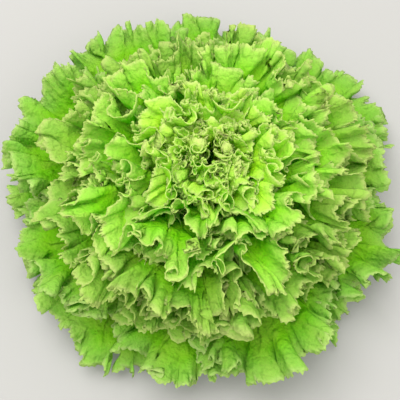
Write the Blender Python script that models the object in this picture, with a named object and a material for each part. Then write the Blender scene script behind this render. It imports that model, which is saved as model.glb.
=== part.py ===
"""A head of curly green lettuce, cut at the stem and standing on the cut.

The head is a short stem, forty separate leaves set on it in a spiral, and a heart: the small
unopened leaves that still hold together on the growing tip. Metres, +Z up. The origin is the
centre of the stem's cut face, which the head stands on.

Every leaf is a patch of one family of nested cups. A cup is named by its layer, from 0 at the
axis to 1 at the lowest leaf, and leaves share one field of ruffles that drifts slowly from
layer to layer, so neighbours nest in each other's waves and never cross. The whole head leans a
little to one side.
"""

import math

import bmesh
import bpy
import numpy as np

MM = 0.001

# The head: how far its rims reach, how high they stand at the axis and at the lowest leaf, how deep
# and wide the dip over the heart is, and how far the top leans sideways
RIM_RADIUS = 148 * MM
RIM_TOP = 128 * MM
RIM_LOW = 9 * MM
HEART_DIP = 7 * MM
HEART_DIP_SPAN = 0.16
LEAN = 11 * MM

# The stem and the growing tip on it, as (radius, height) in millimetres from the cut face up
STEM_PROFILE = ((13.2, 0.0), (14.2, 1.4), (14.0, 6.0), (12.2, 20.0), (9.0, 36.0), (6.6, 46.0))
TIP_PROFILE = ((6.5, 46.4), (5.8, 51.0), (4.8, 57.0), (3.0, 63.0), (1.0, 66.0))
STEM_SIDES = 30
TIP_SIDES = 12

# The leaves: the whole spiral, and how many of its first ones stay together as the heart
SPIRAL_TURN = math.radians(137.508)
SPIRAL_START = math.radians(-30)
LEAVES_IN_SPIRAL = 50
HEART_LEAVES = 10
INNER_LEAVES = 11
MIDDLE_LEAVES = 16
OUTER_LEAVES = 13
FIRST_LAYER = 0.020
ROOT_TOP = 58 * MM
ROOT_LOW = 8 * MM
HEART_ROOT_RADIUS = 2.0 * MM
SEED = 7

# A blade's thickness, and the rib that thickens its foot
BLADE = 0.9 * MM
RIB_THIN = 1.3 * MM
RIB_THICK = 3.4 * MM
GAP_TO_STEM = 0.35 * MM

# Sums of waves round the head. Each gives how many waves go round, their size, how far they
# drift, in radians, from the axis to the lowest leaf, and where they start. The first bends the
# spacing of the ruffles, the second their height, and the third lifts and lowers the rims.
UNEVEN = ((2, 0.10, 2.0, 0.6), (5, 0.05, -3.0, 2.1), (11, 0.015, 4.0, 1.0))
SWELL = ((3, 0.28, 3.0, 1.3), (7, 0.18, -5.0, 0.4))
BULGE = ((2, 0.026, 2.0, 0.9), (3, 0.022, -3.0, 2.2), (5, 0.014, 5.0, -1.1))

# Ruffles: waves round the head, their height as a share of the rim's radius at the axis and at
# the lowest leaf, how far they drift from the one to the other, and where they start
WAVES = (
    (9, 0.100, 0.030, 5.0, 0.4),
    (17, 0.040, 0.038, -7.0, 2.1),
    (29, 0.000, 0.020, 9.0, 1.1),
)

# Each leaf's own slow bend, as a share of its rim's radius
OWN_BEND = 0.010

# Heights under this are eased, so that what droops lies along the ground
FLOOR_BLEND = 12 * MM

# The last middle leaves stop short of their cups' rims by up to this share, so that the outer
# leaves show their faces past them. Then how far each outer leaf, from the inmost to the lowest,
# reaches along its cup.
MIDDLE_SHORTER = 0.19
OUTER_REACH = (0.93, 1.07, 0.98, 0.91, 0.95, 0.98, 1.10, 0.91, 1.10, 0.97, 0.90, 1.10, 0.95)

# A leaf's outline is the top of an oval: how far round it goes each way, and how deep the oval is
# as a share of the leaf's length. The lobes are how far it swells in and out, in two wave lengths.
OVAL_TURN = math.radians(92)
OVAL_DEPTH = 0.42
LOBES = (0.06, 0.03)

# Rows of a blade from root to rim, and how many segments each row has in a full-sized leaf
ROWS = (0.0, 0.2, 0.42, 0.63, 0.82, 0.93, 1.0)
SEGMENTS = (2, 3, 6, 11, 19, 28, 36)
SMALLEST_SHARE = 0.66
HEART_ROWS = (0.0, 0.4, 0.75, 1.0)
HEART_SEGMENTS = (2, 4, 8, 13)

LEAF_GREEN = {
    "outer": (0.20, 0.42, 0.05),
    "middle": (0.29, 0.52, 0.05),
    "inner": (0.36, 0.58, 0.07),
    "heart": (0.42, 0.62, 0.10),
}
STEM_GREEN = (0.62, 0.70, 0.42)


def smooth_step(low, high, x):
    """0 below low, 1 above high, and a smooth rise between them."""
    x = np.clip((x - low) / (high - low), 0.0, 1.0)
    return x * x * (3.0 - 2.0 * x)


def sum_of_sines(parts, theta, layer):
    """The sum of size * sin(count * theta + drift * layer + start) over the parts."""
    return sum(size * np.sin(count * theta + drift * layer + start) for count, size, drift, start in parts)


def layer_of(index):
    """The layer of the spiral's leaf with this index, counted from the middle out."""
    share = index / (LEAVES_IN_SPIRAL - 1)
    return FIRST_LAYER + (1.0 - FIRST_LAYER) * share**1.08


def stem_radius(height):
    """Radius of the stem, or of the growing tip above it, at a height."""
    radii, heights = zip(*STEM_PROFILE, *TIP_PROFILE)
    return np.interp(height / MM, heights, radii) * MM


def rim_of(layer):
    """(radius, height) of a cup's rim: a quarter ellipse from the top of the head to the ground."""
    turn = np.clip(layer, 0.0, 1.05) * math.pi / 2
    dip = HEART_DIP * np.exp(-((layer / HEART_DIP_SPAN) ** 2))
    height = RIM_LOW + (RIM_TOP - RIM_LOW) * np.maximum(np.cos(turn), 1e-6) ** 0.95 - dip
    return RIM_RADIUS * np.sin(turn), height


def rib_of(layer):
    """Thickness of a leaf's foot at its middle."""
    return RIB_THIN + (RIB_THICK - RIB_THIN) * layer**1.5


def rise_at_root(layer):
    return math.radians(14 + 64 * (1 - layer))


def root_of(layer):
    """(radius, height) of a cup's foot on the stem, or inside the growing tip above it."""
    height = ROOT_TOP + (ROOT_LOW - ROOT_TOP) * layer
    if layer < layer_of(HEART_LEAVES - 0.5):
        return HEART_ROOT_RADIUS, height
    half_foot = 0.5 * rib_of(layer)
    widest = stem_radius(height - half_foot * math.cos(rise_at_root(layer)))
    return widest + half_foot * math.sin(rise_at_root(layer)) + GAP_TO_STEM, height


def cup(layer, theta, s):
    """Radius, height and unit normal of a cup in direction theta at shares s of its length.

    The cup's outline is a cubic Bezier curve from foot to rim. It leaves the stem steeply in the
    heart and nearly level in the lowest leaves. Its rim leans inwards in the heart and outwards
    in the rest, and rises and sinks a little round the head.
    """
    bulge = sum_of_sines(BULGE, theta, layer) * smooth_step(0.0, 0.3, layer)
    rim_layer = layer + bulge
    root_radius, root_height = root_of(layer)
    rim_radius, rim_height = rim_of(rim_layer)
    foot_rise = rise_at_root(layer)
    rim_rise = np.radians(-20 + 125 * np.clip(1 - rim_layer, 0.0, 1.0))
    reach = np.hypot(rim_radius - root_radius, rim_height - root_height)
    corners = (
        (root_radius, root_height),
        (root_radius + 0.42 * reach * math.cos(foot_rise), root_height + 0.42 * reach * math.sin(foot_rise)),
        (rim_radius - 0.36 * reach * np.cos(rim_rise), rim_height - 0.36 * reach * np.sin(rim_rise)),
        (rim_radius, rim_height),
    )
    t = 1 - s
    weights = (t**3, 3 * t**2 * s, 3 * t * s**2, s**3)
    radius = sum(weight * corner[0] for weight, corner in zip(weights, corners))
    height = sum(weight * corner[1] for weight, corner in zip(weights, corners))
    slopes = (t**2, 2 * t * s, s**2)
    outward = sum(slope * (b[0] - a[0]) for slope, a, b in zip(slopes, corners, corners[1:]))
    upward = sum(slope * (b[1] - a[1]) for slope, a, b in zip(slopes, corners, corners[1:]))
    size = np.hypot(outward, upward)
    return radius, height, -upward / size, outward / size


def ruffle(theta, s, layer):
    """Height of the shared ruffles off a cup: waves round the head that grow towards the rim."""
    uneven = theta + sum_of_sines(UNEVEN, theta, layer)
    swell = 1 + sum_of_sines(SWELL, theta, layer)
    grow = smooth_step(0.15, 1.05, s) ** 1.4
    total = 0.0
    for count, at_axis, at_lowest, drift, start in WAVES:
        height = at_axis + (at_lowest - at_axis) * layer**0.7
        total = total + height * np.sin(count * uneven + drift * layer + start)
    return (rim_of(layer)[0] + 8 * MM) * grow * swell * total


def half_width(layer):
    """A leaf's half width at its rim, as an angle round the head."""
    return min((48 + 44 * layer) * MM / rim_of(layer)[0], 1.25)


def above_floor(z):
    """Heights under FLOOR_BLEND eased so that what droops lies along the ground and never below it."""
    return np.where(z < FLOOR_BLEND, FLOOR_BLEND * np.exp(z / FLOOR_BLEND - 1), z)


def lean_at(z):
    """How far the leaning head is moved sideways at a height."""
    return LEAN * (np.maximum(z, 0.0) / RIM_TOP) ** 1.5


def leaf_points(index, u, v):
    """Points of a leaf's middle surface at u across, from -1 to 1, and v along, from 0 to 1.

    The lines of constant u fan out from the foot, and the rim at v = 1 is the top of an oval with
    shallow lobes. On top of the shared ruffles each leaf has one slow bend of its own.
    """
    draw = np.random.default_rng(SEED + index)
    layer = layer_of(index)
    azimuth = SPIRAL_START + index * SPIRAL_TURN + draw.uniform(-0.05, 0.05)
    lobe_count = draw.uniform(2.2, 3.4)
    lobe_start = draw.uniform(0, 2 * math.pi)
    share_of_cup = draw.uniform(0.86, 1.0) * (1 - MIDDLE_SHORTER * smooth_step(0.45, 0.68, layer))
    bend_start = draw.uniform(0, 2 * math.pi)
    from_inmost = index - (LEAVES_IN_SPIRAL - OUTER_LEAVES)
    if from_inmost >= 0:
        share_of_cup = OUTER_REACH[from_inmost]
    turn = OVAL_TURN * u
    lobes = LOBES[0] * np.sin(math.pi * lobe_count * u + lobe_start)
    lobes = lobes + LOBES[1] * np.sin(math.pi * 2.6 * lobe_count * u + 2 * lobe_start)
    swelling = 1 + lobes * (1 - 0.75 * u**2)
    side = swelling * np.sin(turn)
    s = share_of_cup * v * (1 - OVAL_DEPTH + OVAL_DEPTH * swelling * np.cos(turn))
    wide = half_width(layer)
    narrow = min(0.38, wide)
    theta = azimuth + narrow * u * (1 - v) + wide * side * v**1.1
    radius, height, out, up = cup(layer, theta, s)
    off = ruffle(theta, s, layer)
    off = off + OWN_BEND * rim_of(layer)[0] * v**2 * np.sin(2.4 * u + bend_start)
    radius = radius + off * out
    z = above_floor(height + off * up)
    return np.stack([radius * np.cos(theta) + lean_at(z), radius * np.sin(theta), z], -1)


def zip_rows(first, second):
    """Triangles between two rows of evenly spread vertices with different counts."""
    faces = []
    i = j = 0
    while i < len(first) - 1 or j < len(second) - 1:
        next_first = (i + 1) / (len(first) - 1)
        next_second = (j + 1) / (len(second) - 1)
        if j == len(second) - 1 or (i < len(first) - 1 and next_first <= next_second):
            faces.append((first[i], first[i + 1], second[j]))
            i += 1
        else:
            faces.append((first[i], second[j + 1], second[j]))
            j += 1
    return faces


def leaf_object(name, index, rows, segments, material):
    """One leaf: its middle surface as rows of triangles, given its thickness by Solidify."""
    points, thick, faces, before = [], [], [], None
    layer = layer_of(index)
    rib = rib_of(layer)
    for v, count in zip(rows, segments):
        u = np.linspace(-1, 1, count + 1)
        here = list(range(len(points), len(points) + count + 1))
        points.extend(leaf_points(index, u, np.full(count + 1, v)))
        fade = (1 - v) ** 1.3 * (1 - np.abs(u)) ** 0.8
        thick.extend(BLADE + (rib - BLADE) * fade)
        if before:
            faces.extend(zip_rows(before, here))
        before = here
    mesh = bpy.data.meshes.new(name)
    mesh.from_pydata([tuple(p) for p in points], [], faces)
    mesh.validate()
    mesh.shade_smooth()
    mesh.materials.append(material)
    leaf = bpy.data.objects.new(name, mesh)
    bpy.context.scene.collection.objects.link(leaf)
    group = leaf.vertex_groups.new(name="thickness")
    for number, value in enumerate(thick):
        group.add([number], value / RIB_THICK, "REPLACE")
    solidify = leaf.modifiers.new("blade", "SOLIDIFY")
    solidify.thickness = RIB_THICK
    solidify.offset = 0.0
    solidify.vertex_group = group.name
    return leaf


def plant_material(name, colour, roughness):
    material = bpy.data.materials.new(name)
    material.use_nodes = True
    shader = material.node_tree.nodes["Principled BSDF"]
    shader.inputs["Base Color"].default_value = (*colour, 1.0)
    shader.inputs["Roughness"].default_value = roughness
    shader.inputs["Metallic"].default_value = 0.0
    return material


def turned_object(name, profile, sides, material):
    """A solid of revolution about Z from (radius, height) pairs in millimetres, closed at both ends."""
    bm = bmesh.new()
    ends = ((0.0, profile[0][1]), *profile, (0.0, profile[-1][1]))
    line = [bm.verts.new((radius * MM, 0.0, height * MM)) for radius, height in ends]
    edges = [bm.edges.new(pair) for pair in zip(line, line[1:])]
    bmesh.ops.spin(bm, geom=line + edges, axis=(0, 0, 1), cent=(0, 0, 0), steps=sides, angle=2 * math.pi)
    bmesh.ops.remove_doubles(bm, verts=bm.verts, dist=0.01 * MM)
    bmesh.ops.recalc_face_normals(bm, faces=bm.faces)
    for vertex in bm.verts:
        vertex.co.x += lean_at(vertex.co.z)
    mesh = bpy.data.meshes.new(name)
    bm.to_mesh(mesh)
    bm.free()
    mesh.shade_smooth()
    mesh.set_sharp_from_angle(angle=math.radians(40))
    mesh.materials.append(material)
    made = bpy.data.objects.new(name, mesh)
    bpy.context.scene.collection.objects.link(made)
    return made


def largest_shell(mesh):
    """Leaves only a mesh's largest connected shell, which fills any pocket closed in between leaves."""
    bm = bmesh.new()
    bm.from_mesh(mesh)
    unseen = set(bm.verts)
    shells = []
    while unseen:
        shell = set()
        ahead = [unseen.pop()]
        while ahead:
            vertex = ahead.pop()
            shell.add(vertex)
            near = [edge.other_vert(vertex) for edge in vertex.link_edges]
            fresh = [other for other in near if other in unseen]
            unseen.difference_update(fresh)
            ahead.extend(fresh)
        shells.append(shell)
    largest = max(shells, key=len)
    bmesh.ops.delete(bm, geom=[vertex for vertex in bm.verts if vertex not in largest], context="VERTS")
    bm.to_mesh(mesh)
    bm.free()


def heart_object(material):
    """The growing tip with the small leaves that still hold together on it, joined into one solid."""
    heart = turned_object("heart", TIP_PROFILE, TIP_SIDES, material)
    small = bpy.data.collections.new("heart_leaves")
    bpy.context.scene.collection.children.link(small)
    for index in range(HEART_LEAVES):
        leaf = leaf_object(f"heart_leaf_{index + 1:02d}", index, HEART_ROWS, HEART_SEGMENTS, material)
        bpy.context.scene.collection.objects.unlink(leaf)
        small.objects.link(leaf)
    union = heart.modifiers.new("join", "BOOLEAN")
    union.operation = "UNION"
    union.operand_type = "COLLECTION"
    union.collection = small
    union.solver = "MANIFOLD"
    bpy.context.view_layer.update()
    graph = bpy.context.evaluated_depsgraph_get()
    joined = bpy.data.meshes.new_from_object(heart.evaluated_get(graph))
    heart.modifiers.clear()
    heart.data = joined
    largest_shell(joined)
    for leaf in list(small.objects):
        bpy.data.objects.remove(leaf)
    bpy.data.collections.remove(small)
    return heart


def scaled_segments(layer):
    """Segments of each row: inner leaves are smaller, so they take fewer."""
    share = SMALLEST_SHARE + (1 - SMALLEST_SHARE) * layer
    return [max(2, round(count * share)) for count in SEGMENTS]


def build():
    for thing in list(bpy.data.objects):
        bpy.data.objects.remove(thing)
    turned_object("stem", STEM_PROFILE, STEM_SIDES, plant_material("stem", STEM_GREEN, 0.5))
    heart_object(plant_material("heart", LEAF_GREEN["heart"], 0.45))
    index = HEART_LEAVES
    for ring, count in (("inner", INNER_LEAVES), ("middle", MIDDLE_LEAVES), ("outer", OUTER_LEAVES)):
        material = plant_material(f"{ring}_leaf", LEAF_GREEN[ring], 0.4)
        for number in range(1, count + 1):
            leaf_object(f"{ring}_leaf_{number:02d}", index, ROWS, scaled_segments(layer_of(index)), material)
            index += 1


build()
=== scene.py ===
"""The looks of a head of curly green lettuce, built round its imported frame.

Each leaf is one closed thin blade worked out with numpy: a patch of a nested cup, thrown into
the head's shared ruffles, its rim turned outwards near the heart, then frilled and toothed.
"""

import math

import bpy
import numpy as np
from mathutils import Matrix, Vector


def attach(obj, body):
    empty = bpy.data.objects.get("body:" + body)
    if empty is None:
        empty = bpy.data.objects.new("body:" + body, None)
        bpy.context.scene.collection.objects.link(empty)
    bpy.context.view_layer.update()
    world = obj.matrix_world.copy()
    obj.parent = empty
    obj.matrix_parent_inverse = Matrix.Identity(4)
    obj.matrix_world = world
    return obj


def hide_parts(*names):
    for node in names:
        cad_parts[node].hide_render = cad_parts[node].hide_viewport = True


MM = 0.001
TURN = 2 * math.pi

# The head's driving dimensions, as in the frame
RIM_RADIUS = 148 * MM
RIM_TOP = 128 * MM
RIM_LOW = 9 * MM
HEART_DIP = 7 * MM
HEART_DIP_SPAN = 0.16
STEM_PROFILE = ((13.2, 0.0), (14.2, 1.4), (14.0, 6.0), (12.2, 20.0), (9.0, 36.0), (6.6, 46.0))
TIP_PROFILE = ((6.5, 46.4), (5.8, 51.0), (4.8, 57.0), (3.0, 63.0), (1.0, 66.0))
SPIRAL_TURN = math.radians(137.508)
SPIRAL_START = math.radians(-30)
LEAVES_IN_SPIRAL = 50
HEART_LEAVES = 10
RINGS = (("inner", 11), ("middle", 16), ("outer", 13))
FIRST_LAYER = 0.020
LAYER_POWER = 1.08
ROOT_TOP = 58 * MM
ROOT_LOW = 8 * MM
HEART_ROOT_RADIUS = 2.0 * MM
SEED = 7
BLADE = 0.9 * MM
RIB_THIN = 1.3 * MM
RIB_THICK = 3.4 * MM
GAP_TO_STEM = 0.35 * MM

# Heights below this one ease off, so that no point goes under the floor
FLOOR_BLEND = 12 * MM

# How steeply a leaf leaves the stem and comes to its rim, in degrees: at the lowest leaf, and how
# much more at the axis
ROOT_RISE = (14, 64)
RIM_RISE = (-20, 125)

# The two handles of a cup's curve, as shares of the straight way from its root to its rim
ROOT_HANDLE = 0.42
RIM_HANDLE = 0.36

# Half a leaf's width in millimetres at the axis, how much more at the lowest leaf, and the most
# that half its rim and half its foot go round the head, in radians
HALF_WIDTH = (48, 44)
WIDEST = 1.25
WIDEST_FOOT = 0.38

# What each leaf draws for itself: the shake of its place on the spiral in radians, its count of
# lobes, and how far it reaches along its cup
AZIMUTH_SHAKE = 0.05
LOBE_COUNTS = (2.2, 3.4)
REACHES = (0.86, 1.0)

# By how much the last middle leaves stop short of their cups' rims, and how far each outer leaf,
# from the inmost to the lowest, reaches along its cup
MIDDLE_SHORTER = 0.19
OUTER_REACH = (0.93, 1.07, 0.98, 0.91, 0.95, 0.98, 1.10, 0.91, 1.10, 0.97, 0.90, 1.10, 0.95)

# How far the head leans along X at the height of the highest rim
LEAN = 11 * MM

# Ruffles: whole waves round the head, their height as a share of the rim's radius at the axis and
# at the lowest leaf, how far each drifts from the one to the other and where it starts, in
# radians, and the share of the leaf's length from which it grows
WAVES = (
    (9, 0.100, 0.030, 5.0, 0.4, 0.20),
    (17, 0.040, 0.038, -7.0, 2.1, 0.50),
    (29, 0.000, 0.020, 9.0, 1.1, 0.65),
)

# Slow changes round the head, each a sum of sines given as whole waves, size, drift and start: how
# the ruffles bunch, how their height swells, and how far the cups' rims bulge
UNEVEN = ((2, 0.10, 2.0, 0.6), (5, 0.05, -3.0, 2.1), (11, 0.015, 4.0, 1.0))
SWELL = ((3, 0.28, 3.0, 1.3), (7, 0.18, -5.0, 0.4))
BULGE = ((2, 0.026, 2.0, 0.9), (3, 0.022, -3.0, 2.2), (5, 0.014, 5.0, -1.1))

# Added to a cup's radius, so that ruffles near the axis keep some height
RUFFLE_MARGIN = 8 * MM

# The power of the smooth step by which ruffles and frills grow towards the rim
GROWTH_POWER = 1.4

# A leaf's outline is the top of an oval: how far round it goes, and how deep the oval is as a
# share of the leaf's length. Two waves of lobes swell it.
OVAL_TURN = math.radians(92)
OVAL_DEPTH = 0.42
LOBES = (0.06, 0.03)

# The bend that each leaf has of its own, as a share of its cup's radius
OWN_BEND = 0.010

# A rim is about this many times as long as half the leaf's width and its oval's depth together
RIM_STRETCH = 1.75

# The blades drawn here are thinner at the rim than the frame's. Their upper faces, which look up
# or in to the heart, lie this far to the right on the UV map, past a line between the two.
THIN_RIM = 0.45 * MM
UPPER_SIDE = 2.0
BETWEEN_SIDES = 1.5

# The strength of the puckers over a blade
PUCKER = 1.7 * MM

# Frills of the rim, from long to short. Each is the length of one wave along a full-sized leaf's
# rim, how far its crests stand off the blade, swing along the rim and reach out past it, and the
# share of the blade's length at which it starts.
FRILLS = (
    (27 * MM, 5.2 * MM, 3.6 * MM, 2.6 * MM, 0.66),
    (12.5 * MM, 4.2 * MM, 3.0 * MM, 2.1 * MM, 0.77),
    (5.4 * MM, 0.8 * MM, 0.6 * MM, 0.5 * MM, 0.90),
)

# The frills' size at the axis and at the lowest leaf, as a share of those above, and how far the
# lowest leaf's crests stand off it, as a share of what they would
SMALLEST_FRILL = 0.42
LARGEST_FRILL = 0.85
FLATTEST = 0.5

# How much the frills' strength varies along a rim, how far they slant over the blade, and by what
# share of the rest of the length they start later on outer leaves
FRILL_UNEVEN = 0.35
FRILL_SLANT = 0.02
OUTER_LATER = 0.30

# Teeth along the rim: their width and the unit of their depth on the lowest leaf, and the share of
# the blade's length at which they start. In that unit follow the shortest tooth, how much more the
# tallest has, and how far the notches sink. The last is how much shallower outer leaves' teeth are.
TOOTH = 5.0 * MM
NOTCH = 3.8 * MM
TEETH_FROM = 0.97
SHORTEST_TOOTH = 0.45
MORE_TOOTH = 0.9
NOTCH_SINK = 0.45
OUTER_SHALLOWER = 0.45

# How far the rims near the heart turn outwards, and the share of the length where that starts, at
# the axis and further out. Along a rim the turn swings about once in ROLL_WAVE, round a mean share
# of the whole, by a spread, and up to a limit.
ROLL = math.radians(80)
ROLL_FROM_HEART = 0.84
ROLL_FROM = 0.66
ROLL_WAVE = 45 * MM
ROLL_MEAN = 0.54
ROLL_SPREAD = 0.45
ROLL_LIMIT = 1.2

# Layers between which a thing changes: the roll grows, moves its start and fades, cups come to
# bulge, and leaves further out become shorter, start frills later, hold them flatter and have
# shallower teeth
ROLL_GROWS = (-0.25, 0.15)
ROLL_MOVES = (0.0, 0.28)
ROLL_FADES = (0.35, 0.8)
BULGE_GROWS = (0.0, 0.3)
SHORTER = (0.45, 0.68)
LATER = (0.65, 0.95)
FLATTER = (0.75, 1.0)
SHALLOWER = (0.6, 0.95)

# The rates of the five sines of a random curve, round the rate that is asked for
CRINKLE_RATES = (0.62, 0.83, 1.0, 1.21, 1.47)

# Segments across a blade's foot: the fewest, and how many more for a rim of the full length
FEWEST_SEGMENTS = 18
MORE_SEGMENTS = 40
FULL_RIM = 270 * MM

# Rows of a blade: how many, between which shares of its length, and how many times the foot's
# segments each has
ROWS = (
    (8, 0.0, 0.54, 1),
    (7, 0.60, 0.84, 2),
    (3, 0.87, 0.93, 4),
    (3, 0.95, 0.982, 8),
    (1, 1.0, 1.0, 16),
)

# The smallest leaves of the heart, which only the looks have: their places on the spiral
SMALL_HEART_LEAVES = 12
SMALL_LEAF_FIRST = 0.05
SMALL_LEAF_STEP = 0.78
SMALL_LEAF_SEED = 200

STEM_SIDES = 64
TIP_SIDES = 32

# Linear colours of each ring's leaves: their face, a painted shade that darkens it towards the foot
# where it lies deep among the other leaves, also laid in broad random patches, and the rim
COLOURS = {
    "heart": ((0.55, 0.95, 0.004), (0.30, 0.89, 0.0), (0.86, 0.90, 0.35)),
    "inner": ((0.32, 0.82, 0.001), (0.09, 0.58, 0.0), (0.80, 0.83, 0.31)),
    "middle": ((0.20, 0.60, 0.001), (0.028, 0.37, 0.0), (0.71, 0.76, 0.27)),
    "outer": ((0.22, 0.64, 0.001), (0.047, 0.47, 0.0), (0.62, 0.74, 0.28)),
}

# The colour of ribs and veins and of the painted waxy sheen, and of the light that comes through the
# rim
PALE = (0.46, 0.74, 0.07)
THROUGH = (0.50, 0.74, 0.01, 1.0)

# Masks over a leaf, each from where it starts to where it is full. Along the leaf's length these
# are the rim, its thin edge, the foot, and the fading of the rib and the veins.
RIM_BAND = (0.83, 1.0)
RIM_EDGE = (0.97, 1.0)
# The foot's mask lays on the painted shade of the pockets deep in the head
FOOT_BAND = (0.62, 0.05)
RIB_FADE = (0.95, 0.2)
VEIN_FADE = (0.96, 0.7)

# The rib's mask goes by the distance from the leaf's middle, as a share of its width
RIB_BAND = (0.16, 0.02)

# How much the band and the edge add to the rim's mask
BAND_SHARE = 0.42
EDGE_SHARE = 0.50

# Veins are the crests of a sine: how fast it turns across the leaf and along it, how far noise
# shakes it, in radians, and from what height a crest shows
VEIN_ACROSS = 62.0
VEIN_ALONG = -11.0
VEIN_SHAKE = 2.6
VEIN_CREST = (0.72, 1.0)

# Noise, in waves per metre, and the values between which its patches show
VEIN_NOISE = 60.0
BROAD_NOISE = 45.0
BROAD_PATCHES = (0.40, 0.62)
# Patches of painted waxy sheen; the fine noise gives relief and more painted sheen
SHEEN_NOISE = 38.0
SHEEN_PATCHES = (0.44, 0.64)
FINE_NOISE = 170.0
FINE_SHEEN_PATCHES = (0.48, 0.70)
STEM_NOISE = 420.0
STEM_PATCHES = (0.38, 0.66)

# The leaf's skin: its painted waxy sheen, its gloss, its relief, and the share of light let through
PAINTED_SHEEN = 0.42
LEAF_ROUGHNESS = 0.40
LEAF_GLOSS = 0.16
LEAF_GLOSS_TINT = (0.45, 1.0, 0.06, 1.0)
BROAD_RELIEF = 1.6
FINE_RELIEF = 0.9
VEIN_RELIEF = -0.55
LEAF_BUMP = 0.8
LEAF_BUMP_DEPTH = 6.0 * MM
GLOW_SHARE = 0.50

# The stem: its pith, its rind and the greener ring between them, and the brown of its cut face
PITH = (0.78, 0.84, 0.60, 1)
RIND = (0.56, 0.72, 0.36, 1)
STEM_RING = (0.40, 0.58, 0.22, 1)
BROWNED = (0.46, 0.27, 0.10, 1)

# The stage, in metres and watts: each light is a name, place, size and power
FLOOR_HALF = 12.0
FLOOR_COLOUR = (0.38, 0.37, 0.36, 1)
LIGHTS = (
    ("sky", (-0.35, 0.35, 1.5), 1.2, 27),
    ("fill", (0.9, -0.9, 1.0), 1.0, 6),
)
LIGHT_TARGET = (0, 0, 0.06)
WORLD_COLOUR = (0.97, 0.98, 0.93, 1)
WORLD_STRENGTH = 1.05
CAMERA_LENS = 60
CAMERA_DISTANCE = 0.464
CAMERA_RISE = math.radians(70)
CAMERA_TARGET = (0.0, -0.0145, 0.062)


def smooth_step(low, high, x):
    """0 below low, 1 above high, and a smooth rise between them."""
    x = np.clip((x - low) / (high - low), 0.0, 1.0)
    return x * x * (3.0 - 2.0 * x)


def sum_of_sines(parts, theta, layer):
    """The sum of size * sin(count * theta + drift * layer + start) over the parts."""
    return sum(
        size * np.sin(count * theta + drift * layer + start) for count, size, drift, start in parts
    )


def layer_of(index):
    """A leaf's layer: FIRST_LAYER at the first, 1 at the last, and a power of its place between."""
    share = index / (LEAVES_IN_SPIRAL - 1)
    return FIRST_LAYER + (1.0 - FIRST_LAYER) * share**LAYER_POWER


def stem_radius(height):
    """The stem's radius at a height, in straight lines between the points of its profile."""
    radii, heights = zip(*STEM_PROFILE, *TIP_PROFILE)
    return np.interp(height / MM, heights, radii) * MM


def rim_of(layer):
    """Radius and height of a cup's rim."""
    turn = np.clip(layer, 0.0, 1.05) * math.pi / 2
    dip = HEART_DIP * np.exp(-((layer / HEART_DIP_SPAN) ** 2))
    height = RIM_LOW + (RIM_TOP - RIM_LOW) * np.maximum(np.cos(turn), 1e-6) ** 0.95 - dip
    return RIM_RADIUS * np.sin(turn), height


def rib_of(layer):
    """How thick a leaf's rib is at the stem, growing with the power 1.5 of the layer."""
    return RIB_THIN + (RIB_THICK - RIB_THIN) * layer**1.5


def rise_at_root(layer):
    """The angle above the level at which a leaf leaves the stem."""
    return math.radians(ROOT_RISE[0] + ROOT_RISE[1] * (1 - layer))


def root_of(layer):
    """Radius and height of a leaf's root: just clear of the stem, or in the heart's core."""
    height = ROOT_TOP + (ROOT_LOW - ROOT_TOP) * layer
    if layer < layer_of(HEART_LEAVES - 0.5):
        return HEART_ROOT_RADIUS, height
    half_foot = 0.5 * rib_of(layer)
    widest = stem_radius(height - half_foot * math.cos(rise_at_root(layer)))
    return widest + half_foot * math.sin(rise_at_root(layer)) + GAP_TO_STEM, height


def cup(layer, theta, s):
    """Radius, height and outward and upward normal of a cup, s from its root at 0 to its rim at 1.

    The cup bulges and sinks round the head: its rim sits where a cup a little further in or out
    would have it, by an amount that all cups nearly share.
    """
    bulge = sum_of_sines(BULGE, theta, layer) * smooth_step(*BULGE_GROWS, layer)
    rim_layer = layer + bulge
    root_radius, root_height = root_of(layer)
    rim_radius, rim_height = rim_of(rim_layer)
    foot_rise = rise_at_root(layer)
    rim_rise = np.radians(RIM_RISE[0] + RIM_RISE[1] * np.clip(1 - rim_layer, 0.0, 1.0))
    reach = np.hypot(rim_radius - root_radius, rim_height - root_height)
    foot = ROOT_HANDLE * reach
    end = RIM_HANDLE * reach
    corners = (
        (root_radius, root_height),
        (root_radius + foot * math.cos(foot_rise), root_height + foot * math.sin(foot_rise)),
        (rim_radius - end * np.cos(rim_rise), rim_height - end * np.sin(rim_rise)),
        (rim_radius, rim_height),
    )
    t = 1 - s
    weights = (t**3, 3 * t**2 * s, 3 * t * s**2, s**3)
    radius = sum(w * c[0] for w, c in zip(weights, corners))
    height = sum(w * c[1] for w, c in zip(weights, corners))
    slopes = (t**2, 2 * t * s, s**2)
    along = [
        sum(w * (corners[k + 1][axis] - corners[k][axis]) for k, w in enumerate(slopes))
        for axis in (0, 1)
    ]
    size = np.hypot(*along)
    return radius, height, -along[1] / size, along[0] / size


def ruffle(theta, s, layer):
    """How far the head's shared ruffles move a cup along its normal.

    It is the cup's radius times a slow swell times the sum of the waves, each a sine round the
    head whose height grows from root to rim.
    """
    uneven = theta + sum_of_sines(UNEVEN, theta, layer)
    swell = 1 + sum_of_sines(SWELL, theta, layer)
    total = 0.0
    for count, at_axis, at_lowest, drift, start, rise_from in WAVES:
        height = at_axis + (at_lowest - at_axis) * layer**0.7
        grow = smooth_step(rise_from, 1.05, s) ** GROWTH_POWER
        total = total + height * grow * np.sin(count * uneven + drift * layer + start)
    return (rim_of(layer)[0] + RUFFLE_MARGIN) * swell * total


def half_width(layer):
    """The turn round the head from a leaf's middle to its side, in radians."""
    radius = rim_of(layer)[0]
    return min((HALF_WIDTH[0] + HALF_WIDTH[1] * layer) * MM / radius, WIDEST)


def leaning(points):
    """The points moved along X with the power 1.5 of their height, as the head leans."""
    points[..., 0] += LEAN * (np.maximum(points[..., 2], 0.0) / RIM_TOP) ** 1.5
    return points


def above_floor(z):
    """Heights with those below FLOOR_BLEND eased by an exponential that never reaches 0."""
    return np.where(z < FLOOR_BLEND, FLOOR_BLEND * np.exp(z / FLOOR_BLEND - 1), z)


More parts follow.
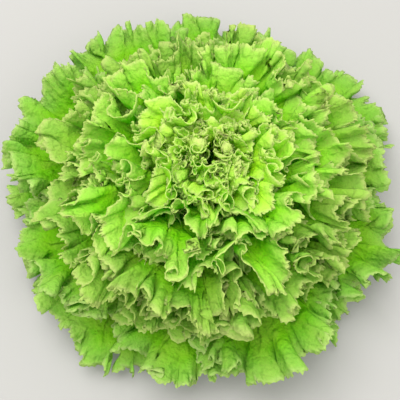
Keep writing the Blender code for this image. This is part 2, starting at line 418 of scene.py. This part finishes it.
class Leaf:
    """What one leaf of the spiral draws for itself, in the same order as the frame."""

    def __init__(self, index, seed=None):
        draw = np.random.default_rng(SEED + index if seed is None else seed)
        self.seed = 1000 + index if seed is None else 1000 + seed
        self.layer = layer_of(index)
        shake = draw.uniform(-AZIMUTH_SHAKE, AZIMUTH_SHAKE)
        self.azimuth = SPIRAL_START + index * SPIRAL_TURN + shake
        self.lobe_count = draw.uniform(*LOBE_COUNTS)
        self.lobe_start = draw.uniform(0, TURN)
        shorter = MIDDLE_SHORTER * smooth_step(*SHORTER, self.layer)
        self.reach = draw.uniform(*REACHES) * (1 - shorter)
        self.bend_start = draw.uniform(0, TURN)
        from_inmost = index - (LEAVES_IN_SPIRAL - len(OUTER_REACH))
        if from_inmost >= 0:
            self.reach = OUTER_REACH[from_inmost]
        self.wide = half_width(self.layer)
        self.narrow = min(WIDEST_FOOT, self.wide)
        self.length = float(np.linalg.norm(np.subtract(rim_of(self.layer), root_of(self.layer))))
        self.rim_width = RIM_STRETCH * (self.wide * rim_of(self.layer)[0] + OVAL_DEPTH * self.length)
        self.draw = draw

    def surface(self, u, v):
        """The leaf's middle surface with the head's ruffles and no frill: u across, v along."""
        turn = OVAL_TURN * u
        lobes = LOBES[0] * np.sin(math.pi * self.lobe_count * u + self.lobe_start)
        lobes = lobes + LOBES[1] * np.sin(math.pi * 2.6 * self.lobe_count * u + 2 * self.lobe_start)
        swelling = 1 + lobes * (1 - 0.75 * u**2)
        side = swelling * np.sin(turn)
        s = self.reach * v * (1 - OVAL_DEPTH + OVAL_DEPTH * swelling * np.cos(turn))
        theta = self.azimuth + self.narrow * u * (1 - v) + self.wide * side * v**1.1
        radius, height, out, up = cup(self.layer, theta, s)
        off = ruffle(theta, s, self.layer)
        off = off + OWN_BEND * rim_of(self.layer)[0] * v**2 * np.sin(2.4 * u + self.bend_start)
        radius = radius + off * out
        return np.stack([radius * np.cos(theta), radius * np.sin(theta), height + off * up], -1)


def unit(vectors):
    """The vectors at length 1."""
    return vectors / np.maximum(np.linalg.norm(vectors, axis=-1, keepdims=True), 1e-12)


def wander(draw, count, strength):
    """A smooth random curve of x: a sum of sines, the nth with a rate near n and a size up to 1/n."""
    parts = [
        (n * draw.uniform(0.7, 1.3), draw.uniform(0, TURN), draw.uniform(-1, 1) / n)
        for n in range(1, count + 1)
    ]
    return lambda x: strength * sum(
        size * np.sin(TURN * rate * x + start) for rate, start, size in parts
    )


def crinkle(draw, rate, x):
    """A random curve of about one wave per 1/rate: sines whose rates spread round it.

    Their size gives the sum a mean square of 1.
    """
    rates = rate * np.array(CRINKLE_RATES) * draw.uniform(0.93, 1.07, len(CRINKLE_RATES))
    size = math.sqrt(2 / len(CRINKLE_RATES))
    return sum(size * np.sin(TURN * r * x + draw.uniform(0, TURN)) for r in rates)


def teeth(leaf, draw, arc):
    """How far the teeth reach at a length along the rim: blunt tips, sharp notches, uneven sizes.

    Each rises and falls evenly, rounded by the power 0.7. Its height follows from its number,
    through the fraction of a large multiple of a sine, so it is scattered but the same each run.
    """
    size = 0.55 + 0.45 * leaf.layer
    rate = 1 / (TOOTH * size)
    phase = rate * arc + 0.25 * crinkle(draw, 0.3 * rate, arc)
    number = np.floor(phase)
    scatter = np.mod(43.76 * np.abs(np.sin(12.99 * number + leaf.seed)), 1.0)
    height = SHORTEST_TOOTH + MORE_TOOTH * scatter
    wave = 1 - np.abs(2 * (phase - number) - 1)
    shallower = 1 - OUTER_SHALLOWER * smooth_step(*SHALLOWER, leaf.layer)
    return NOTCH * size * shallower * (height * wave**0.7 - NOTCH_SINK)


def rolled(leaf, draw, p, x, v):
    """The move that bends stretches of a rim outwards and down along an arc.

    It is fullest on the inner leaves, weaker at the axis and fades out over the middle ones.
    """
    share = ROLL_MEAN + ROLL_SPREAD * crinkle(draw, leaf.rim_width / ROLL_WAVE, x)
    angle = ROLL * np.clip(share, 0.0, ROLL_LIMIT) * smooth_step(*ROLL_GROWS, leaf.layer)
    angle = angle * (1 - smooth_step(*ROLL_FADES, leaf.layer))
    moved = smooth_step(*ROLL_MOVES, leaf.layer)
    start = ROLL_FROM_HEART + (ROLL_FROM - ROLL_FROM_HEART) * moved
    span = leaf.length * (1 - start)
    curve = np.maximum(angle, 1e-3) / span
    along = leaf.length * np.maximum(v - start, 0.0)
    outward = (1 - np.cos(curve * along)) / curve
    upward = np.sin(curve * along) / curve - along
    away = unit(p * np.array([1.0, 1.0, 0.0]))
    return away * outward[..., None] + np.array([0.0, 0.0, 1.0]) * upward[..., None]


def vertex_normals(points, faces):
    """The mean of the normals of the triangles at each point, weighted by their areas."""
    corners = points[faces]
    flat = np.cross(corners[:, 1] - corners[:, 0], corners[:, 2] - corners[:, 0])
    total = np.zeros_like(points)
    for k in range(3):
        np.add.at(total, faces[:, k], flat)
    return unit(total)


def frame_on(points, faces, before, after):
    """The blade's own directions at each point: off its lower face, along its row, and rimwards."""
    normal = vertex_normals(points, faces)
    side = unit(points[after] - points[before])
    return normal, side, unit(np.cross(normal, side))


def frilled(leaf, u, v, faces, before, after):
    """The finished middle surface: ruffled, turned out, puckered, frilled, toothed and leaning.

    Each frill moves the rim by three random curves of its arc length at once: off the blade, along
    the rim and out past it. Together they make the rim wander in loops that lean over, as a strip
    too long for its edge does. Every frill stands on the shape that the one before it left.
    """
    draw = np.random.default_rng(leaf.seed)
    x = (u + 1) / 2
    p = leaf.surface(u, v)
    p = p + rolled(leaf, draw, p, x, v)
    size = SMALLEST_FRILL + (LARGEST_FRILL - SMALLEST_FRILL) * leaf.layer**0.6
    normal, side, outward = frame_on(p, faces, before, after)
    across = wander(draw, 7, PUCKER)(x * 2.2 + 0.7 * v)
    along = wander(draw, 5, 1.0)(v * 1.9 - 0.4 * x)
    p = p + normal * (across * along * smooth_step(0.2, 0.6, v))[..., None]
    calm = 1 + (FLATTEST - 1) * smooth_step(*FLATTER, leaf.layer)
    for length, off, swing, reach, start in FRILLS:
        rate = leaf.rim_width / (length * size)
        strength = size * (1 + FRILL_UNEVEN * crinkle(draw, 0.25 * rate, x))
        start = start + (1 - start) * OUTER_LATER * smooth_step(*LATER, leaf.layer)
        grow = strength * smooth_step(start, 1.0, v) ** GROWTH_POWER
        slant = x + FRILL_SLANT * (1 - v)
        normal, side, outward = frame_on(p, faces, before, after)
        p = p + normal * (grow * off * calm * crinkle(draw, rate, slant))[..., None]
        p = p + side * (grow * swing * crinkle(draw, rate, slant))[..., None]
        p = p + outward * (grow * reach * crinkle(draw, rate, slant))[..., None]
    normal, side, outward = frame_on(p, faces, before, after)
    rim = v == 1.0
    steps = np.linalg.norm(np.diff(p[rim], axis=0), axis=1)
    arc = np.interp(x, x[rim], np.concatenate([[0.0], np.cumsum(steps)]))
    p = p + outward * (teeth(leaf, draw, arc) * smooth_step(TEETH_FROM, 1.0, v))[..., None]
    p[..., 2] = above_floor(p[..., 2])
    return leaning(p)


def rows_of(leaf):
    """(v, segments) of each row: fewest at the foot, and 16 times as many along the rim."""
    base = int(round(FEWEST_SEGMENTS + MORE_SEGMENTS * leaf.rim_width / FULL_RIM))
    return [
        (v, times * base)
        for count, low, high, times in ROWS
        for v in np.linspace(low, high, count)
    ]


def sheet_rows(rows):
    """Triangles of a blade whose rows keep or double their segments, and its edge loop of vertices."""
    starts = np.concatenate([[0], np.cumsum([n + 1 for _, n in rows])])
    faces = []
    for r in range(len(rows) - 1):
        n, m = rows[r][1], rows[r + 1][1]
        a, b = starts[r], starts[r + 1]
        i = np.arange(n)
        if m == n:
            faces.append(np.stack([a + i, a + i + 1, b + i + 1], -1))
            faces.append(np.stack([a + i, b + i + 1, b + i], -1))
        else:
            faces.append(np.stack([a + i, b + 2 * i + 1, b + 2 * i], -1))
            faces.append(np.stack([a + i, a + i + 1, b + 2 * i + 1], -1))
            faces.append(np.stack([a + i + 1, b + 2 * i + 2, b + 2 * i + 1], -1))
    left = starts[:-1]
    right = starts[1:] - 1
    bottom = np.arange(starts[0], starts[1])
    top = np.arange(starts[-2], starts[-1])
    loop = np.concatenate([bottom, right[1:-1], top[::-1], left[1:-1][::-1]])
    return np.concatenate(faces), loop


def triangle_mesh(name, points, faces):
    """A smooth mesh from arrays of points and triangles."""
    mesh = bpy.data.meshes.new(name)
    mesh.vertices.add(len(points))
    mesh.vertices.foreach_set("co", points.astype(np.float32).ravel())
    mesh.loops.add(faces.size)
    mesh.loops.foreach_set("vertex_index", faces.astype(np.int32).ravel())
    mesh.polygons.add(len(faces))
    mesh.polygons.foreach_set("loop_start", np.arange(0, faces.size, 3, dtype=np.int32))
    mesh.polygons.foreach_set("loop_total", np.full(len(faces), 3, dtype=np.int32))
    mesh.update(calc_edges=True)
    mesh.validate()
    mesh.shade_smooth()
    return mesh


def turned_mesh(name, profile, sides):
    """A solid turned about Z that leans with the head: rings of points, and a point at each end."""
    radii, heights = np.array(profile).T * MM
    angle = np.linspace(0, TURN, sides, endpoint=False)
    rings = np.stack([
        np.outer(radii, np.cos(angle)),
        np.outer(radii, np.sin(angle)),
        np.repeat(heights[:, None], sides, 1),
    ], -1).reshape(-1, 3)
    ends = np.array([[0, 0, heights[0]], [0, 0, heights[-1]]])
    here = np.arange(sides)
    after = (here + 1) % sides
    faces = []
    for row in range(len(radii) - 1):
        low = row * sides
        faces.append(np.stack([low + here, low + after, low + sides + after], -1))
        faces.append(np.stack([low + here, low + sides + after, low + sides + here], -1))
    bottom = np.full(sides, len(rings))
    top = (len(radii) - 1) * sides
    faces.append(np.stack([bottom, after, here], -1))
    faces.append(np.stack([bottom + 1, top + here, top + after], -1))
    mesh = triangle_mesh(name, leaning(np.concatenate([rings, ends])), np.concatenate(faces))
    mesh.set_sharp_from_angle(angle=math.radians(50))
    return mesh


def blade_mesh(name, leaf):
    """A closed thin blade: its middle surface moved half its thickness each way, and an edge band."""
    rows = rows_of(leaf)
    u = np.concatenate([np.linspace(-1, 1, n + 1) for _, n in rows])
    v = np.concatenate([np.full(n + 1, value) for value, n in rows])
    faces, loop = sheet_rows(rows)
    number = np.arange(len(u))
    before = np.where(u > -1, number - 1, number)
    after = np.where(u < 1, number + 1, number)
    points = frilled(leaf, u, v, faces, before, after)
    normals = vertex_normals(points, faces)
    fade = (1 - v) ** 1.3 * (1 - np.abs(u)) ** 0.8
    thick = THIN_RIM + (BLADE - THIN_RIM) * smooth_step(1.0, 0.6, v)
    thick = thick + (rib_of(leaf.layer) - BLADE) * fade
    half = 0.5 * thick[:, None] * normals
    count = len(points)
    # The normals point off the lower face, so the triangles close it as they are. Turned over,
    # they close the upper one.
    verts = np.concatenate([points + half, points - half])
    upper = faces[:, ::-1] + count
    nxt = np.roll(loop, -1)
    band = np.concatenate([
        np.stack([loop, loop + count, nxt + count], -1),
        np.stack([loop, nxt + count, nxt], -1),
    ])
    every = np.concatenate([faces, upper, band])
    mesh = triangle_mesh(name, verts, every)
    across = (u + 1) / 2
    uv = np.stack([np.concatenate([across, across + UPPER_SIDE]), np.tile(v, 2)], -1)
    layer = mesh.uv_layers.new(name="leaf")
    layer.data.foreach_set("uv", uv[every.ravel()].astype(np.float32).ravel())
    return mesh


def new_group(name, inputs, outputs):
    """A shader node group with named sockets, each given as (name, type, default)."""
    tree = bpy.data.node_groups.new(name, "ShaderNodeTree")
    for socket, kind, default in inputs:
        made = tree.interface.new_socket(socket, in_out="INPUT", socket_type=f"NodeSocket{kind}")
        if default is not None:
            made.default_value = default
    for socket, kind in outputs:
        tree.interface.new_socket(socket, in_out="OUTPUT", socket_type=f"NodeSocket{kind}")
    return tree, tree.nodes.new("NodeGroupInput"), tree.nodes.new("NodeGroupOutput")


def wire(tree, source, target):
    """Feeds a socket from another socket, a number or a colour."""
    if hasattr(source, "is_output"):
        tree.links.new(source, target)
    else:
        target.default_value = source


def sums(tree, operation, *values):
    """A math node's result, from sockets or numbers."""
    node = tree.nodes.new("ShaderNodeMath")
    node.operation = operation
    for value, socket in zip(values, node.inputs):
        wire(tree, value, socket)
    return node.outputs[0]


def ramp(tree, value, low, high, to_low=0.0, to_high=1.0):
    """A smooth step of a value between low and high."""
    node = tree.nodes.new("ShaderNodeMapRange")
    node.interpolation_type = "SMOOTHSTEP"
    wire(tree, value, node.inputs["Value"])
    limits = {"From Min": low, "From Max": high, "To Min": to_low, "To Max": to_high}
    for socket, number in limits.items():
        node.inputs[socket].default_value = number
    return node.outputs["Result"]


def blend(tree, share, first, second):
    """A mix of two colours by a share."""
    node = tree.nodes.new("ShaderNodeMix")
    node.data_type = "RGBA"
    wire(tree, share, node.inputs[0])
    wire(tree, first, node.inputs[6])
    wire(tree, second, node.inputs[7])
    return node.outputs[2]


def noise(tree, place, scale, detail=2.0):
    """A noise texture's value at a place, with scale in waves per metre."""
    node = tree.nodes.new("ShaderNodeTexNoise")
    node.inputs["Scale"].default_value = scale
    node.inputs["Detail"].default_value = detail
    tree.links.new(place, node.inputs["Vector"])
    return node.outputs["Fac"]


def leaf_map_group():
    """Masks from the leaf's own UV map: its rim, foot, rib, veins and upper face."""
    outputs = ("Rim", "Foot", "Rib", "Veins", "Upper")
    tree, _, out = new_group("LeafMap", (), [(name, "Float") for name in outputs])
    uv = tree.nodes.new("ShaderNodeUVMap")
    uv.uv_map = "leaf"
    split = tree.nodes.new("ShaderNodeSeparateXYZ")
    tree.links.new(uv.outputs[0], split.inputs[0])
    along = split.outputs["Y"]
    upper = sums(tree, "GREATER_THAN", split.outputs["X"], BETWEEN_SIDES)
    tree.links.new(upper, out.inputs["Upper"])
    across = sums(tree, "MULTIPLY_ADD", upper, -UPPER_SIDE, split.outputs["X"])
    off_middle = sums(tree, "ABSOLUTE", sums(tree, "SUBTRACT", across, 0.5))
    edge = sums(tree, "MULTIPLY", ramp(tree, along, *RIM_EDGE), EDGE_SHARE)
    rim = sums(tree, "MULTIPLY_ADD", ramp(tree, along, *RIM_BAND), BAND_SHARE, edge)
    tree.links.new(rim, out.inputs["Rim"])
    tree.links.new(ramp(tree, along, *FOOT_BAND), out.inputs["Foot"])
    rib = sums(tree, "MULTIPLY", ramp(tree, off_middle, *RIB_BAND), ramp(tree, along, *RIB_FADE))
    tree.links.new(rib, out.inputs["Rib"])
    place = tree.nodes.new("ShaderNodeTexCoord").outputs["Object"]
    shaken = sums(tree, "SUBTRACT", noise(tree, place, VEIN_NOISE), 0.5)
    shaken = sums(tree, "MULTIPLY", shaken, VEIN_SHAKE)
    slanted = sums(tree, "MULTIPLY", along, VEIN_ALONG)
    slanted = sums(tree, "MULTIPLY_ADD", off_middle, VEIN_ACROSS, slanted)
    wave = sums(tree, "SINE", sums(tree, "ADD", slanted, shaken))
    lines = sums(tree, "MULTIPLY", ramp(tree, wave, *VEIN_CREST), ramp(tree, along, *VEIN_FADE))
    tree.links.new(lines, out.inputs["Veins"])
    return tree


def leaf_tone_group():
    """The leaf's colour: painted shade towards the foot, pale along the rib and veins and in patches
    of painted sheen, lime along the rim.
    """
    colours = ("Face", "ShadeAndPatch", "Edge", "Pale")
    inputs = [(name, "Color", None) for name in colours]
    outputs = [("Colour", "Color"), ("Through", "Color"), ("Relief", "Float")]
    tree, given, out = new_group("LeafTone", inputs, outputs)
    where = tree.nodes.new("ShaderNodeGroup")
    where.node_tree = bpy.data.node_groups["LeafMap"]
    place = tree.nodes.new("ShaderNodeTexCoord").outputs["Object"]
    broad = noise(tree, place, BROAD_NOISE, 3.0)
    sheen_patch = noise(tree, place, SHEEN_NOISE)
    fine = noise(tree, place, FINE_NOISE)
    shade_and_patch = given.outputs["ShadeAndPatch"]
    pale = given.outputs["Pale"]
    # Painted waxy sheen: pale patches, kept off the foot
    painted_sheen = sums(tree, "MULTIPLY", ramp(tree, sheen_patch, *SHEEN_PATCHES), PAINTED_SHEEN)
    painted_sheen = sums(tree, "MULTIPLY", painted_sheen, sums(tree, "SUBTRACT", 1.0, where.outputs["Foot"]))
    # Each coat of colour is a mask, its strength and its tone, laid over the ones before
    coats = (
        # Painted shade towards the foot, then random darker patches in the same tone
        (where.outputs["Foot"], 0.85, shade_and_patch),
        (ramp(tree, broad, *BROAD_PATCHES), 0.30, shade_and_patch),
        # Painted sheen in broad and in fine pale patches
        (painted_sheen, 1.0, pale),
        (ramp(tree, fine, *FINE_SHEEN_PATCHES), 0.22, pale),
        (where.outputs["Veins"], 0.45, pale),
        (where.outputs["Rib"], 0.75, pale),
        (where.outputs["Upper"], 0.15, pale),
        (where.outputs["Rim"], 0.9, given.outputs["Edge"]),
    )
    colour = given.outputs["Face"]
    for mask, strength, tone in coats:
        colour = blend(tree, sums(tree, "MULTIPLY", mask, strength), colour, tone)
    tree.links.new(colour, out.inputs["Colour"])
    through = blend(tree, where.outputs["Rim"], given.outputs["Face"], THROUGH)
    tree.links.new(through, out.inputs["Through"])
    height = sums(tree, "MULTIPLY", broad, BROAD_RELIEF)
    height = sums(tree, "MULTIPLY_ADD", where.outputs["Veins"], VEIN_RELIEF, height)
    height = sums(tree, "MULTIPLY_ADD", fine, FINE_RELIEF, height)
    tree.links.new(height, out.inputs["Relief"])
    return tree


def lettuce_material(name, face, shade_and_patch, edge):
    """Thin leaf: a soft waxy skin mixed with light that comes through the blade."""
    mat = bpy.data.materials.new(name)
    mat.use_nodes = True
    tree = mat.node_tree
    tree.nodes.clear()
    out = tree.nodes.new("ShaderNodeOutputMaterial")
    tone = tree.nodes.new("ShaderNodeGroup")
    tone.node_tree = bpy.data.node_groups["LeafTone"]
    # The second colour is the painted shade of the pockets; pale also gives the painted sheen
    for socket, colour in (("Face", face), ("ShadeAndPatch", shade_and_patch), ("Edge", edge), ("Pale", PALE)):
        tone.inputs[socket].default_value = (*colour, 1.0)
    bump = tree.nodes.new("ShaderNodeBump")
    bump.inputs["Strength"].default_value = LEAF_BUMP
    bump.inputs["Distance"].default_value = LEAF_BUMP_DEPTH
    tree.links.new(tone.outputs["Relief"], bump.inputs["Height"])
    skin = tree.nodes.new("ShaderNodeBsdfPrincipled")
    skin.inputs["Roughness"].default_value = LEAF_ROUGHNESS
    skin.inputs["Metallic"].default_value = 0.0
    skin.inputs["Specular IOR Level"].default_value = LEAF_GLOSS
    skin.inputs["Specular Tint"].default_value = LEAF_GLOSS_TINT
    tree.links.new(tone.outputs["Colour"], skin.inputs["Base Color"])
    tree.links.new(bump.outputs[0], skin.inputs["Normal"])
    glow = tree.nodes.new("ShaderNodeBsdfTranslucent")
    tree.links.new(tone.outputs["Through"], glow.inputs["Color"])
    tree.links.new(bump.outputs[0], glow.inputs["Normal"])
    mix = tree.nodes.new("ShaderNodeMixShader")
    mix.inputs[0].default_value = GLOW_SHARE
    tree.links.new(skin.outputs[0], mix.inputs[1])
    tree.links.new(glow.outputs[0], mix.inputs[2])
    tree.links.new(mix.outputs[0], out.inputs[0])
    return mat


def stem_material():
    """A crisp stem: pale pith, a greener ring and rind, and a cut face that has begun to brown."""
    mat = bpy.data.materials.new("stem")
    mat.use_nodes = True
    tree = mat.node_tree
    skin = tree.nodes["Principled BSDF"]
    place = tree.nodes.new("ShaderNodeTexCoord").outputs["Object"]
    split = tree.nodes.new("ShaderNodeSeparateXYZ")
    tree.links.new(place, split.inputs[0])
    squares = sums(tree, "MULTIPLY", split.outputs["X"], split.outputs["X"])
    squares = sums(tree, "MULTIPLY_ADD", split.outputs["Y"], split.outputs["Y"], squares)
    radius = sums(tree, "SQRT", squares)
    outer = ramp(tree, radius, 11.6 * MM, 10.2 * MM)
    ring = sums(tree, "MULTIPLY", ramp(tree, radius, 8.0 * MM, 9.4 * MM), outer)
    mottle = noise(tree, place, STEM_NOISE, 3.0)
    colour = blend(tree, ramp(tree, radius, 6.0 * MM, 13.0 * MM), PITH, RIND)
    colour = blend(tree, sums(tree, "MULTIPLY", ring, 0.55), colour, STEM_RING)
    low = ramp(tree, split.outputs["Z"], 1.2 * MM, 0.2 * MM)
    browned = sums(tree, "MULTIPLY", low, ramp(tree, mottle, *STEM_PATCHES))
    browned = sums(tree, "MULTIPLY", browned, ramp(tree, radius, 2.0 * MM, 13.0 * MM, 0.25, 0.75))
    colour = blend(tree, browned, colour, BROWNED)
    tree.links.new(colour, skin.inputs["Base Color"])
    skin.inputs["Roughness"].default_value = 0.42
    skin.inputs["Metallic"].default_value = 0.0
    bump = tree.nodes.new("ShaderNodeBump")
    bump.inputs["Strength"].default_value = 0.4
    bump.inputs["Distance"].default_value = 0.5 * MM
    tree.links.new(mottle, bump.inputs["Height"])
    tree.links.new(bump.outputs[0], skin.inputs["Normal"])
    return mat


def shown(name, mesh, material, *nodes):
    """A piece of the scene that rides on the head and takes the place of its nodes."""
    piece = bpy.data.objects.new(name, mesh)
    bpy.context.scene.collection.objects.link(piece)
    mesh.materials.append(material)
    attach(piece, "root")
    if nodes:
        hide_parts(*nodes)
    return piece


def dress_leaves():
    """One finer blade for each of the frame's own leaves, from the inmost ring outwards."""
    index = HEART_LEAVES
    for ring, count in RINGS:
        material = lettuce_material(f"{ring}_leaf", *COLOURS[ring])
        for number in range(1, count + 1):
            node = f"{ring}_leaf_{number:02d}"
            mesh = blade_mesh(f"{node}_blade", Leaf(index))
            shown(f"{node}_blade", mesh, material, node)
            index += 1


def dress_stem():
    """The stem with its cut face."""
    mesh = turned_mesh("stem_cut", STEM_PROFILE, STEM_SIDES)
    shown("stem_cut", mesh, stem_material(), "stem")


def dress_heart():
    """The heart: its core, its leaves, and smaller leaves among them."""
    material = lettuce_material("heart", *COLOURS["heart"])
    tip = turned_mesh("heart_tip", TIP_PROFILE, TIP_SIDES)
    tip.uv_layers.new(name="leaf")
    shown("heart_tip", tip, material, "heart")
    for index in range(HEART_LEAVES):
        name = f"heart_leaf_{index + 1:02d}"
        shown(name, blade_mesh(name, Leaf(index)), material, "heart")
    for number in range(SMALL_HEART_LEAVES):
        name = f"heart_small_leaf_{number + 1:02d}"
        place = SMALL_LEAF_FIRST + SMALL_LEAF_STEP * number
        leaf = Leaf(place, seed=SMALL_LEAF_SEED + number)
        shown(name, blade_mesh(name, leaf), material, "heart")


def set_stage():
    """A wide plain floor."""
    mesh = bpy.data.meshes.new("floor")
    corners = [(x * FLOOR_HALF, y * FLOOR_HALF, 0) for x, y in ((-1, -1), (1, -1), (1, 1), (-1, 1))]
    mesh.from_pydata(corners, [], [(0, 1, 2, 3)])
    floor = bpy.data.objects.new("floor", mesh)
    bpy.context.scene.collection.objects.link(floor)
    mat = bpy.data.materials.new("floor")
    mat.use_nodes = True
    skin = mat.node_tree.nodes["Principled BSDF"]
    skin.inputs["Base Color"].default_value = FLOOR_COLOUR
    skin.inputs["Roughness"].default_value = 0.9
    mesh.materials.append(mat)


def aim(thing, target):
    """Turns a light or camera to look at a target."""
    thing.rotation_mode = "QUATERNION"
    thing.rotation_quaternion = (Vector(target) - thing.location).to_track_quat("-Z", "Y")


def set_lights():
    """Soft light from above and a weaker one from the side, in a pale surround."""
    for name, place, size, power in LIGHTS:
        light = bpy.data.lights.new(name, "AREA")
        light.size = size
        light.energy = power
        lamp = bpy.data.objects.new(name, light)
        lamp.location = place
        bpy.context.scene.collection.objects.link(lamp)
        aim(lamp, LIGHT_TARGET)
    world = bpy.data.worlds.new("world")
    bpy.context.scene.world = world
    world.use_nodes = True
    surround = world.node_tree.nodes["Background"]
    surround.inputs[0].default_value = WORLD_COLOUR
    surround.inputs[1].default_value = WORLD_STRENGTH
    bpy.context.scene.view_settings.view_transform = "Standard"


def set_camera():
    """The camera at the photo's angle, in front of the head and above it."""
    cam = bpy.data.cameras.new("camera")
    cam.lens = CAMERA_LENS
    shooter = bpy.data.objects.new("camera", cam)
    bpy.context.scene.collection.objects.link(shooter)
    target = Vector(CAMERA_TARGET)
    back = Vector((0, -math.cos(CAMERA_RISE), math.sin(CAMERA_RISE)))
    shooter.location = target + CAMERA_DISTANCE * back
    aim(shooter, target)
    bpy.context.scene.camera = shooter


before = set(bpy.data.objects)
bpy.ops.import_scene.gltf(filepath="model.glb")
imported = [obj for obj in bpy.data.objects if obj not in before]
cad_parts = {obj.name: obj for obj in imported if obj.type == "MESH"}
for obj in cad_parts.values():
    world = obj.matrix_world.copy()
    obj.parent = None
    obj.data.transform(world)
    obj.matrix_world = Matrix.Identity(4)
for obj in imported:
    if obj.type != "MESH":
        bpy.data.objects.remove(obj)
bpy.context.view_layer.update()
leaf_map_group()
leaf_tone_group()
dress_stem()
dress_leaves()
dress_heart()
set_stage()
set_lights()
set_camera()
